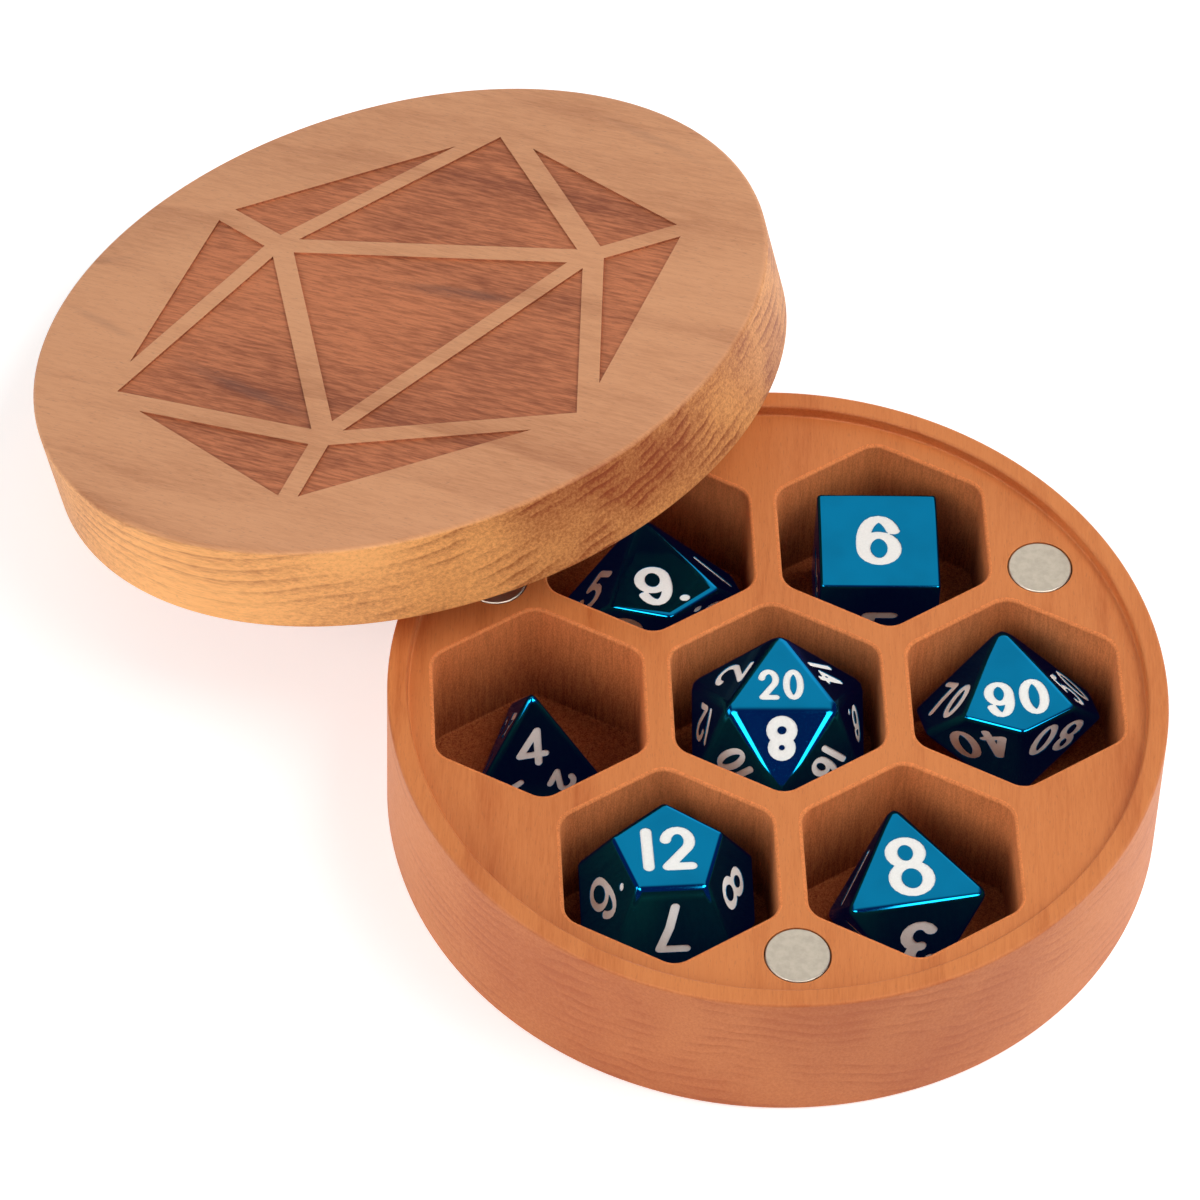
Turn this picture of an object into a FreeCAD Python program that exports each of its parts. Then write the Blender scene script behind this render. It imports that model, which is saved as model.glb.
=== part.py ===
import FreeCAD, Part
import math
import os

# Round wooden dice chest: a tray with seven hexagonal pockets, a lid, six
# magnets and a set of seven dice.  Millimetres, +Z up, the tray's underside
# on z = 0 and its centre on the Z axis, one row of pockets along X.

# --- tray -------------------------------------------------------------------
OUTER_R = 51.0          # outside radius of tray and lid
TRAY_H = 22.8           # underside to rim
FACE_H = 20.95          # underside to the face the pockets are cut in
RECESS_R = 48.3         # radius of the recess inside the rim
FLOOR_T = 2.8           # wood left under the pockets
POCKET_FLATS = 27.4     # pocket size across flats
POCKET_PITCH = 31.2     # centre to centre of neighbouring pockets
POCKET_CORNER = 3.0     # radius of the cutter that left the pocket corners
EDGE_BREAK = 0.35       # chamfer on the pocket mouths and the rim
FOOT_BREAK = 0.6        # chamfer round the underside

# --- lid --------------------------------------------------------------------
LID_T = 12.8            # mating face to top face
BOSS_R = 47.9           # locating boss under the lid
BOSS_H = 1.5
LID_POCKET_DEPTH = 4.2  # head room over the dice, from the boss face
LID_EDGE = 0.5
FIGURE_INNER_R = 26.7   # centre triangle of the engraved figure, to a corner
FIGURE_OUTER_R = 40.3   # outline hexagon of the figure, to a corner
FIGURE_BAR = 2.9        # bare wood left between two engraved triangles
FIGURE_BAR_ASIDE = 0.8  # how far the bars at three outline corners lie off the edge
FIGURE_DEPTH = 0.3

# --- magnets ----------------------------------------------------------------
MAGNET_R = 4.2
MAGNET_T = 3.0
MAGNET_EDGE = 0.25
MAGNET_HOLE_R = 4.32
MAGNET_RING_R = 41.75
MAGNET_ANGLES = (30.0, 150.0, 270.0)

# --- where the lid leans: low edge on the table, underside on the rim --------
LEAN_TILT = 19.1        # slope of the lid
LEAN_AZ = 136.4         # direction the lid slopes down
LEAN_OUT = 73.55        # centre of the lid from the tray's axis
LEAN_SIDE = 127.7       # direction of that centre
FIGURE_TURN = 111.65    # turn of the figure from the downhill direction

# --- dice: size, pocket, place in the pocket, turn ---------------------------
GOLD = (1 + math.sqrt(5)) / 2
D4_EDGE = 20.5
D6_EDGE = 16.0
D8_EDGE = 18.5
D10_RING_R = 12.6       # radius of the zigzag ring of a ten-sided die
D10_HALF = 11.76        # centre to either point of a ten-sided die
D12_EDGE = 8.75
D20_EDGE = 14.1
DIE_LIFT = 0.05         # running clearance under a resting die
DIE_EDGE_CUT = 0.22     # how far the sharp edges are taken down
DIE_TIP_CUT = 0.75      # how far the sharp corners are taken down


def vec(x, y, z=0.0):
    return FreeCAD.Vector(x, y, z)


def polar(radius, degrees, z=0.0):
    a = math.radians(degrees)
    return vec(radius * math.cos(a), radius * math.sin(a), z)


def disc(radius, z0, z1):
    return Part.makeCylinder(radius, z1 - z0, vec(0, 0, z0))


def loop_edges(solid, test):
    return [e for e in solid.Edges if all(test(v.Point) for v in e.Vertexes)
            and test(e.valueAt((e.FirstParameter + e.LastParameter) / 2))]


def at_height(z, tol=1e-4):
    return lambda p: abs(p.z - z) < tol


# --- hexagonal pockets --------------------------------------------------------

def pocket_centres():
    """Middle pocket first, then the six around it, counter-clockwise from +X."""
    return [vec(0, 0)] + [polar(POCKET_PITCH, 60.0 * k) for k in range(6)]


def hex_prism(centre, z0, z1):
    """Rounded hexagon with flats facing +X and -X."""
    corner_r = POCKET_FLATS / 2 / math.cos(math.radians(30))
    pts = [centre + polar(corner_r, 30 + 60 * k, z0) for k in range(6)]
    face = Part.Face(Part.makePolygon(pts + pts[:1]))
    prism = face.extrude(vec(0, 0, z1 - z0))
    upright = [e for e in prism.Edges
               if abs(e.Vertexes[0].Z - e.Vertexes[1].Z) > 1e-3]
    return prism.makeFillet(POCKET_CORNER, upright)


def pocket_cutter(centre, z_floor, z_mouth, mouth_dir):
    """Pocket with a chamfered mouth; mouth_dir is +1 when it opens upwards."""
    cutter = hex_prism(centre, min(z_floor, z_mouth), max(z_floor, z_mouth))
    rim = [e for e in cutter.Edges if all(abs(v.Z - z_mouth) < 1e-4
                                          for v in e.Vertexes)]
    wire = Part.Wire(Part.__sortEdges__(rim))
    inner = Part.Face(wire)
    outer = inner.makeOffset2D(EDGE_BREAK)
    lo = outer.Wires[0]
    hi = inner.Wires[0].copy()
    hi.translate(vec(0, 0, -mouth_dir * EDGE_BREAK))
    flare = Part.makeLoft([hi, lo], True, True)
    return cutter.fuse(flare)


# --- tray ---------------------------------------------------------------------

def make_tray():
    body = disc(OUTER_R, 0, TRAY_H)
    body = body.makeChamfer(FOOT_BREAK, loop_edges(body, at_height(0)))
    body = body.makeChamfer(EDGE_BREAK, loop_edges(body, at_height(TRAY_H)))
    body = body.cut(disc(RECESS_R, FACE_H, TRAY_H + 1))
    lead_in = Part.makeCone(RECESS_R, RECESS_R + 2 * EDGE_BREAK, 2 * EDGE_BREAK,
                            vec(0, 0, TRAY_H - EDGE_BREAK))
    cutters = [lead_in]
    for centre in pocket_centres():
        cutters.append(pocket_cutter(centre, FLOOR_T, FACE_H, 1))
    for angle in MAGNET_ANGLES:
        at = polar(MAGNET_RING_R, angle, FACE_H - MAGNET_T)
        cutters.append(Part.makeCylinder(MAGNET_HOLE_R, MAGNET_T + 1, at))
    return body.cut(cutters)


def make_magnet():
    """Plain disc, underside on z = 0, both rims broken."""
    puck = disc(MAGNET_R, 0, MAGNET_T)
    rims = [e for e in puck.Edges if len(e.Vertexes) == 1
            or abs(e.Vertexes[0].Z - e.Vertexes[-1].Z) < 1e-6]
    return puck.makeChamfer(MAGNET_EDGE, [e for e in rims if e.Closed])


# --- engraved figure ------------------------------------------------------------

def inset_triangle(corners, insets):
    """Triangle with side i (corner i to i+1) moved inwards by insets[i]."""
    mid = (corners[0] + corners[1] + corners[2]) * (1.0 / 3)
    lines = []
    for i in range(3):
        along = corners[(i + 1) % 3] - corners[i]
        normal = vec(-along.y, along.x).normalize()
        if normal.dot(mid - corners[i]) < 0:
            normal = normal * -1
        lines.append((normal, normal.dot(corners[i]) + insets[i]))
    out = []
    for i in range(3):
        (n1, c1), (n2, c2) = lines[i - 1], lines[i]
        det = n1.x * n2.y - n1.y * n2.x
        out.append(vec((c1 * n2.y - c2 * n1.y) / det,
                       (n1.x * c2 - n2.x * c1) / det))
    return out


def figure_triangles():
    """The ten visible faces of a twenty-sided solid seen square on to a face."""
    half = FIGURE_BAR / 2
    inner = [polar(FIGURE_INNER_R, FIGURE_TURN + 120 * k) for k in range(3)]
    outer = [polar(FIGURE_OUTER_R, FIGURE_TURN + 60 * k) for k in range(6)]
    faces = [(inner, (half, half, half))]
    for k in range(3):
        faces.append(([inner[k], inner[(k + 1) % 3], outer[2 * k + 1]],
                      (half, half - FIGURE_BAR_ASIDE, half - FIGURE_BAR_ASIDE)))
        for side in (1, -1):
            faces.append(([inner[k], outer[2 * k], outer[(2 * k + side) % 6]],
                          (half, 0.0, half + FIGURE_BAR_ASIDE)))
    return [inset_triangle(list(c), i) for c, i in faces]


# --- lid ------------------------------------------------------------------------

def make_lid():
    """Mating face on z = 0, boss below it, top face at LID_T."""
    body = disc(OUTER_R, 0, LID_T)
    body = body.makeChamfer(LID_EDGE, loop_edges(body, at_height(LID_T)))
    body = body.makeChamfer(EDGE_BREAK, loop_edges(body, at_height(0)))
    boss = disc(BOSS_R, -BOSS_H, 0.5)
    boss = boss.makeChamfer(EDGE_BREAK, loop_edges(boss, at_height(-BOSS_H)))
    body = body.fuse(boss)
    cutters = []
    grid_turn = FIGURE_TURN - MAGNET_ANGLES[0]
    roof = LID_POCKET_DEPTH - BOSS_H
    for centre in pocket_centres():
        c = pocket_cutter(centre, roof, -BOSS_H, -1)
        c.rotate(vec(0, 0), vec(0, 0, 1), grid_turn)
        cutters.append(c)
    for at in lid_magnet_spots():
        cutters.append(Part.makeCylinder(MAGNET_HOLE_R, MAGNET_T + 1,
                                         at - vec(0, 0, 1)))
    for tri in figure_triangles():
        pts = [p + vec(0, 0, LID_T - FIGURE_DEPTH) for p in tri]
        face = Part.Face(Part.makePolygon(pts + pts[:1]))
        cutters.append(face.extrude(vec(0, 0, FIGURE_DEPTH + 1)))
    return body.cut(cutters).removeSplitter()


def lid_magnet_spots():
    turn = FIGURE_TURN - MAGNET_ANGLES[0]
    return [polar(MAGNET_RING_R, a + turn, -BOSS_H) for a in MAGNET_ANGLES]


def lean(shape):
    """Carry a shape from the lid's own frame to the leaning lid."""
    shape = shape.copy()
    shape.rotate(vec(0, 0), vec(0, 1, 0), LEAN_TILT)
    shape.rotate(vec(0, 0), vec(0, 0, 1), LEAN_AZ)
    # the lower corner of the boss just touches the table
    slope = math.radians(LEAN_TILT)
    lift = (BOSS_R - EDGE_BREAK) * math.sin(slope) + BOSS_H * math.cos(slope)
    shape.translate(polar(LEAN_OUT, LEAN_SIDE, lift))
    return shape


# --- dice -----------------------------------------------------------------------

def unit(v):
    return v * (1.0 / v.Length)


def half_space_solid(planes, size):
    """Convex solid left when every (normal, distance) plane cuts a cube."""
    solid = Part.makeBox(2 * size, 2 * size, 2 * size, vec(-size, -size, -size))
    for normal, distance in planes:
        slab = Part.makeBox(4 * size, 4 * size, 4 * size,
                            vec(-2 * size, -2 * size, 0))
        turn = FreeCAD.Rotation(vec(0, 0, 1), normal)
        slab.Placement = FreeCAD.Placement(normal * distance, turn)
        solid = solid.cut(slab)
    return solid.Solids[0]


def outward(face):
    n = face.normalAt(0, 0)
    return n if n.dot(face.CenterOfMass) > 0 else n * -1


def bevelled(normals, inradius, tip_cut=DIE_TIP_CUT, edge_cut=DIE_EDGE_CUT):
    """Die body: flat faces, every edge and corner taken down by a facet."""
    faces = [(unit(n), inradius) for n in normals]
    size = 3.2 * inradius
    sharp = half_space_solid(faces, size)
    cuts = []
    for edge in sharp.Edges:
        a, b = edge.Vertexes[0].Point, edge.Vertexes[1].Point
        mid = (a + b) * 0.5
        near = [outward(f) for f in sharp.Faces
                if f.distToShape(Part.Vertex(mid))[0] < 1e-6]
        n = unit(near[0] + near[1])
        cuts.append((n, n.dot(mid) - edge_cut))
    for vertex in sharp.Vertexes:
        n = vec(0, 0)
        for f in sharp.Faces:
            if f.distToShape(vertex)[0] < 1e-6:
                n = n + outward(f)
        n = unit(n)
        cuts.append((n, n.dot(vertex.Point) - tip_cut))
    return half_space_solid(faces + cuts, size)


def tetra_normals():
    """First face looks down and has a corner on +X; the rest meet at the point."""
    lean_z = 1.0 / 3
    side = math.sqrt(1 - lean_z ** 2)
    return [vec(0, 0, -1)] + [polar(side, 60 + 120 * k, lean_z) for k in range(3)]


def cube_normals():
    return [vec(0, 0, 1), vec(0, 0, -1)] + [polar(1, 90 * k) for k in range(4)]


def octa_normals():
    """Top face has a corner on +X; its three neighbours face between corners."""
    z = 1.0 / 3
    side = math.sqrt(1 - z ** 2)
    top = [vec(0, 0, 1)] + [polar(side, 60 + 120 * k, z) for k in range(3)]
    return top + [n * -1 for n in top]


def dodeca_normals():
    z = 1 / math.sqrt(5)
    side = math.sqrt(1 - z ** 2)
    top = [vec(0, 0, 1)] + [polar(side, 36 + 72 * k, z) for k in range(5)]
    return top + [n * -1 for n in top]


def icosa_normals():
    """Top face has a corner on +X; rings of three, six, six and three follow."""
    z1 = math.sqrt(5) / 3
    s1 = math.sqrt(1 - z1 ** 2)
    top = [vec(0, 0, 1)] + [polar(s1, 60 + 120 * k, z1) for k in range(3)]
    z2 = 1.0 / 3
    s2 = math.sqrt(1 - z2 ** 2)
    off = ring_offset()
    for k in range(3):
        for sign in (1, -1):
            top.append(polar(s2, 120 * k + sign * off, z2))
    return top + [n * -1 for n in top]


def ring_offset():
    """Azimuth of a second-ring face from the corner of the top face."""
    return math.degrees(math.acos((3 + math.sqrt(5)) / (2 * math.sqrt(8))))


def kite_normals():
    """Ten kites: five up, five down, the lower five turned by 36 degrees."""
    rise = D10_HALF * math.tan(math.radians(18)) ** 2
    up = []
    for k in range(5):
        a = polar(D10_RING_R, 72 * k - 36, rise)
        b = polar(D10_RING_R, 72 * k + 36, rise)
        tip = vec(0, 0, D10_HALF)
        n = unit((a - tip).cross(b - tip))
        up.append(n if n.z > 0 else n * -1)
    return up + [n * -1 for n in up]


def kite_inradius():
    rise = D10_HALF * math.tan(math.radians(18)) ** 2
    n = kite_normals()[0]
    return abs(n.dot(polar(D10_RING_R, 36, rise)))


def kite_body():
    """Ten-sided die resting on a kite, its top kite pointing to +X."""
    die = bevelled(kite_normals(), kite_inradius())
    n = kite_normals()[0]
    # the tip lies on the far side of the top kite: turn it to +X
    tilt = math.degrees(math.atan2(n.x, n.z))
    die.rotate(vec(0, 0), vec(0, 1, 0), -tilt)
    die.rotate(vec(0, 0), vec(0, 0, 1), 180)
    return die


def die_table():
    """name: (body, centre height over the floor, pocket, dx, dy, turn)."""
    d20_in = D20_EDGE * GOLD ** 2 / (2 * math.sqrt(3))
    d12_in = D12_EDGE * 0.5 * math.sqrt(2.5 + 1.1 * math.sqrt(5))
    d8_in = D8_EDGE / math.sqrt(6)
    d4_in = D4_EDGE / math.sqrt(24)
    kite_in = kite_inradius()
    return {
        "twenty_sided_die": (bevelled(icosa_normals(), d20_in, 0.7),
                             d20_in, 0, 0.3, -0.2, 88.2),
        "percentile_ten_sided_die": (kite_body(), kite_in, 1, 0.0, 4.1, 95.1),
        "six_sided_die": (bevelled(cube_normals(), D6_EDGE / 2),
                          D6_EDGE / 2, 2, -0.3, 0.8, -2.0),
        "ten_sided_die": (kite_body(), kite_in, 3, 0.8, -2.6, 100.5),
        "four_sided_die": (bevelled(tetra_normals(), d4_in, 1.3),
                           d4_in, 4, -0.75, 3.0, 99.5),
        "twelve_sided_die": (bevelled(dodeca_normals(), d12_in, 0.6),
                             d12_in, 5, 0.0, 1.6, 91.6),
        "eight_sided_die": (bevelled(octa_normals(), d8_in),
                            d8_in, 6, -0.05, 0.65, 98.0),
    }


def place_die(entry):
    body, height, pocket, dx, dy, turn = entry
    body = body.copy()
    body.rotate(vec(0, 0), vec(0, 0, 1), turn)
    at = pocket_centres()[pocket] + vec(dx, dy, FLOOR_T + DIE_LIFT + height)
    body.translate(at)
    return body


# --- everything ------------------------------------------------------------------

def build():
    nodes = {"tray": make_tray(), "lid": lean(make_lid())}
    for side, angle in zip(("right", "left", "front"), MAGNET_ANGLES):
        puck = make_magnet()
        puck.translate(polar(MAGNET_RING_R, angle, FACE_H - MAGNET_T))
        nodes["tray_magnet_" + side] = puck
    for number, at in enumerate(lid_magnet_spots(), 1):
        puck = make_magnet()
        puck.translate(at)
        nodes["lid_magnet_%d" % number] = lean(puck)
    for name, entry in die_table().items():
        nodes[name] = place_die(entry)
    return nodes


os.makedirs("parts", exist_ok=True)
for name, shape in build().items():
    solid = shape.Solids[0] if len(shape.Solids) == 1 else shape
    solid.exportStep("parts/%s.step" % name)
    print(name, "solids", len(shape.Solids), "valid", shape.isValid(),
          "volume", round(shape.Volume, 1))
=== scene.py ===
"""Looks of a round wooden dice chest.

A tray with seven hexagonal pockets, a lid with an engraved figure that leans on its rim, six
magnets, and a set of seven metal dice with sunk white numerals.  Lengths are metres.
"""

import itertools
import math

import bmesh
import bpy
from bpy.props import FloatProperty, FloatVectorProperty, PointerProperty
from mathutils import Matrix, Vector
from mathutils.geometry import delaunay_2d_cdt


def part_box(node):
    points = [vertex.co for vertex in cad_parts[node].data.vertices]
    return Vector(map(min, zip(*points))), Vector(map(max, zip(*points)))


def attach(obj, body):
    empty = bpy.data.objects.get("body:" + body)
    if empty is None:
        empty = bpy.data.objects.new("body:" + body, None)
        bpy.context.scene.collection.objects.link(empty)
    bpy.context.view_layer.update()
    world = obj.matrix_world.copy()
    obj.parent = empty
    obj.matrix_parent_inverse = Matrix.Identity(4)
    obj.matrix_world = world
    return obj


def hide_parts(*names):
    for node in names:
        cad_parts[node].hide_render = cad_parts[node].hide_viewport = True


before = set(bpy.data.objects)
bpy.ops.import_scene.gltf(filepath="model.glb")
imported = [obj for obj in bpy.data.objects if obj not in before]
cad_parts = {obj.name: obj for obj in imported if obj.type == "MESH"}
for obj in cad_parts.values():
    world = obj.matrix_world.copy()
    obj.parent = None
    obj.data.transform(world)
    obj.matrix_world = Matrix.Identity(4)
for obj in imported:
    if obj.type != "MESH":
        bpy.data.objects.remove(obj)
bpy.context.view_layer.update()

bl_info = {
    "name": "Round Dice Chest",
    "version": (1, 0, 0),
    "blender": (4, 5, 0),
    "location": "View3D > Sidebar > Dice Chest",
    "description": "Builds a wooden dice chest with its lid, magnets and a set of seven dice",
    "category": "Add Mesh",
}

MM = 0.001
TRAY_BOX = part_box("tray")
CIRCLE_STEPS = 240              # sides of a large circle
HOLE_STEPS = 64                 # sides of a magnet or its hole
CORNER_STEPS = 8                # sides of a pocket's rounded corner
EDGE_STEPS = 4                  # strips across a rounded edge
POCKET_COUNT = 6                # pockets round the middle one
INSIDE_ONLY = 1                 # the triangulation leaves out what lies outside its outlines
SAME_PLACE = 1e-6               # mm within which it takes two points for one
STRIP = 1 * MM                  # flat strip beside a rounded edge, where a profile ends
POCKET_SHADE = (1, 19)          # mm from its mouth over which painted shade darkens a pocket's wall
LOW_EDGE_INSET = 0.35 * MM      # what rounding takes off the boss's edge where the lid rests on it
NEARLY_FLAT = 1e-3              # three faces that meet in no corner span less than this
SLACK = 1e-4                    # share by which a corner may stray from its face
SAME_CORNER = 0.01 * MM         # two corners nearer than this are one
DIE_EDGE_STEPS = 6              # strips across a die's rounded edge
DIE_EDGE_FULLNESS = 0.58        # 0.5 is a round edge, 1 a sharp one
TABLE_REACH = 6.0               # metres from the table's middle to its sides
TABLE_FADE = (250, 900)         # mm from its middle over which it turns white
SENSOR = 36.0                   # mm, width
NEAREST_SEEN = 0.01             # metres from the camera


def srgb(red, green, blue):
    """Linear colour of a shade given as 0 to 255 on a screen."""
    def linear(part):
        part /= 255
        return part / 12.92 if part <= 0.04045 else ((part + 0.055) / 1.055) ** 2.4
    return linear(red), linear(green), linear(blue)


def darker(tone, share):
    return tuple(share * part for part in tone)


def length(name, description, default):
    return FloatProperty(name=name, description=description, default=default, unit="LENGTH",
                         precision=5)


def angle(name, description, degrees):
    return FloatProperty(name=name, description=description, default=math.radians(degrees),
                         subtype="ANGLE")


def colour(name, description, *shade):
    return FloatVectorProperty(name=name, description=description, default=srgb(*shade),
                               subtype="COLOR", size=3, min=0, max=1)


def brightness(name, description, default):
    return FloatProperty(name=name, description=description, default=default, min=0)


def group(name, description, kind):
    return PointerProperty(name=name, description=description, type=kind)


# --- settings ---

class TraySizes(bpy.types.PropertyGroup):
    radius: length("Radius", "Outside radius of tray and lid", TRAY_BOX[1].x)
    height: length("Height", "Underside to rim", TRAY_BOX[1].z)
    face_height: length("Face height", "Underside to the face the pockets are cut in", 20.95 * MM)
    recess_radius: length("Recess radius", "Radius of the recess inside the rim", 48.3 * MM)
    floor: length("Floor", "Wood left under the pockets", 2.8 * MM)
    pocket_flats: length("Pocket flats", "Pocket size across flats", 27.4 * MM)
    pocket_pitch: length("Pocket pitch", "Centre to centre of neighbouring pockets", 31.2 * MM)
    pocket_corner: length("Pocket corner", "Radius of a pocket's upright corners", 3.0 * MM)
    mouth_round: length("Mouth round", "Rounding of the pocket mouths", 0.42 * MM)
    rim_round: length("Rim round", "Rounding of the rim", 0.43 * MM)
    foot_round: length("Foot round", "Rounding round the underside", 0.6 * MM)
    inside_round: length("Inside round", "Fillet where a wall meets a floor", 0.3 * MM)


class LidSizes(bpy.types.PropertyGroup):
    thickness: length("Thickness", "Mating face to top face", 12.8 * MM)
    boss_radius: length("Boss radius", "Locating boss under the lid", 47.9 * MM)
    boss_height: length("Boss height", "Depth of the locating boss", 1.5 * MM)
    pocket_depth: length("Head room", "Pocket depth from the boss face", 4.2 * MM)
    edge_round: length("Edge round", "Rounding of the top edge", 0.62 * MM)
    figure_inner: length("Inner triangle", "Centre to a corner of the middle triangle", 26.7 * MM)
    figure_outer: length("Outline", "Centre to a corner of the figure's outline", 40.3 * MM)
    figure_bar: length("Bar", "Bare wood between two engraved triangles", 2.9 * MM)
    figure_aside: length("Bar aside", "How far the outer bars lie off the figure's edges", 0.8 * MM)
    figure_depth: length("Engraving depth", "How deep the figure is engraved", 0.3 * MM)
    figure_turn: angle("Figure turn", "Turn of the figure from the downhill direction", 111.65)
    lean_tilt: angle("Tilt", "Slope of the leaning lid", 19.1)
    lean_downhill: angle("Downhill", "Direction the lid slopes down to", 136.4)
    lean_side: angle("Side", "Direction of the lid's centre from the tray's axis", 127.7)
    lean_out: length("Reach", "Distance of the lid's centre from the tray's axis", 73.55 * MM)


class MagnetSizes(bpy.types.PropertyGroup):
    radius: length("Radius", "Radius of a magnet", 4.2 * MM)
    thickness: length("Thickness", "Thickness of a magnet", 3.0 * MM)
    hole_radius: length("Hole radius", "Radius of the hole a magnet is glued into", 4.32 * MM)
    ring_radius: length("Ring radius", "Chest's axis to the middle of a magnet", 41.75 * MM)
    edge_round: length("Edge round", "Rounding of a magnet's edges", 0.25 * MM)


class DiceSizes(bpy.types.PropertyGroup):
    numeral_depth: length("Numeral depth", "How deep the numerals are sunk", 0.12 * MM)


class WoodColours(bpy.types.PropertyGroup):
    tray_pale: colour("Tray pale", "Early wood of the tray", 209, 127, 71)
    tray_deep: colour("Tray deep", "Late wood of the tray", 174, 88, 41)
    lid_pale: colour("Lid pale", "Early wood of the lid", 218, 155, 110)
    lid_deep: colour("Lid deep", "Late wood of the lid", 172, 108, 68)
    # the lid's side colours are its wood with painted light at the pale end and painted shade at
    # the deep end
    side_pale_lit: colour("Lid side pale", "Early wood round the lid's side", 252, 180, 106)
    side_deep_shaded: colour("Lid side deep", "Late wood round the lid's side", 132, 54, 16)
    # pocket walls go from the pale colour at their mouth to the deep one near their floor, which is
    # mostly painted shade
    pocket_pale: colour("Pocket pale", "Milled pocket walls near their mouth", 240, 146, 86)
    pocket_deep_and_shade: colour("Pocket deep", "Milled pocket walls near their floor", 108, 38, 14)
    engraved_pale: colour("Engraved pale", "Light streaks of the engraving", 204, 124, 82)
    engraved_deep: colour("Engraved deep", "Dark streaks of the engraving", 130, 68, 42)
    mineral: colour("Mineral streak", "Grey-brown streaks across the board", 84, 56, 50)


class MetalColours(bpy.types.PropertyGroup):
    dice: colour("Dice", "Coloured metal of the dice", 0, 105, 143)
    numeral: colour("Numerals", "Paint in the numerals", 244, 243, 238)
    nickel: colour("Nickel", "Plating of the magnets", 188, 177, 160)


class StudioSettings(bpy.types.PropertyGroup):
    azimuth: angle("Azimuth", "Camera direction round the chest, from +X", -94.2207)
    elevation: angle("Elevation", "Camera height above the horizon", 50.9752)
    roll: angle("Roll", "Camera turn about its own axis", 2.09)
    distance: length("Distance", "Camera to the point it looks at", 960.6 * MM)
    aim_x: length("Aim X", "Point looked at on the table, X", -21.224 * MM)
    aim_y: length("Aim Y", "Point looked at on the table, Y", 33.764 * MM)
    lens: FloatProperty(name="Lens", description="Focal length on a 36 mm sensor", default=212.29,
                        unit="CAMERA")
    overhead: brightness("Overhead", "Radiance of the soft box above the right", 4.3)
    front: brightness("Front", "Radiance of the soft box above the front left", 1.6)
    left: brightness("Left", "Radiance of the soft box at the left", 3.8)
    right: brightness("Right", "Radiance of the soft box at the right", 4.2)
    ambient: brightness("Ambient", "Even light from all round", 0.33)
    backdrop: brightness("Backdrop", "Brightness of the backdrop in reflections", 1.29)
    panels: brightness("Panels", "Brightness of two panels in front, in reflections", 10.0)
    table_glow: brightness("Table glow", "How much the table lifts its own shadows", 1.0)


class ChestSettings(bpy.types.PropertyGroup):
    tray: group("Tray", "Sizes of the tray", TraySizes)
    lid: group("Lid", "Sizes of the lid", LidSizes)
    magnet: group("Magnets", "Sizes of the magnets", MagnetSizes)
    dice: group("Dice", "Sizes of the dice", DiceSizes)
    wood: group("Wood", "Wood colours", WoodColours)
    metal: group("Metal", "Metal and paint colours", MetalColours)
    studio: group("Studio", "Camera and light", StudioSettings)


# --- mesh making ---

def polar(radius, turn, z=0.0):
    return Vector((radius * math.cos(turn), radius * math.sin(turn), z))


def spread(count, radius, first=0.0, z=0.0):
    """Points evenly round the axis."""
    return [polar(radius, first + math.tau * k / count, z) for k in range(count)]


def counter_clockwise(flat, shape):
    """The shape's point numbers, in the order that the triangulation takes for a solid."""
    following = shape[1:] + shape[:1]
    area = sum(flat[i].x * flat[j].y - flat[i].y * flat[j].x for i, j in zip(shape, following))
    return shape if area > 0 else shape[::-1]


def put(name, data, place):
    """Shows data as an object."""
    thing = bpy.data.objects.new(name, data)
    thing.matrix_world = place
    bpy.context.scene.collection.objects.link(thing)
    return thing


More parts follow.
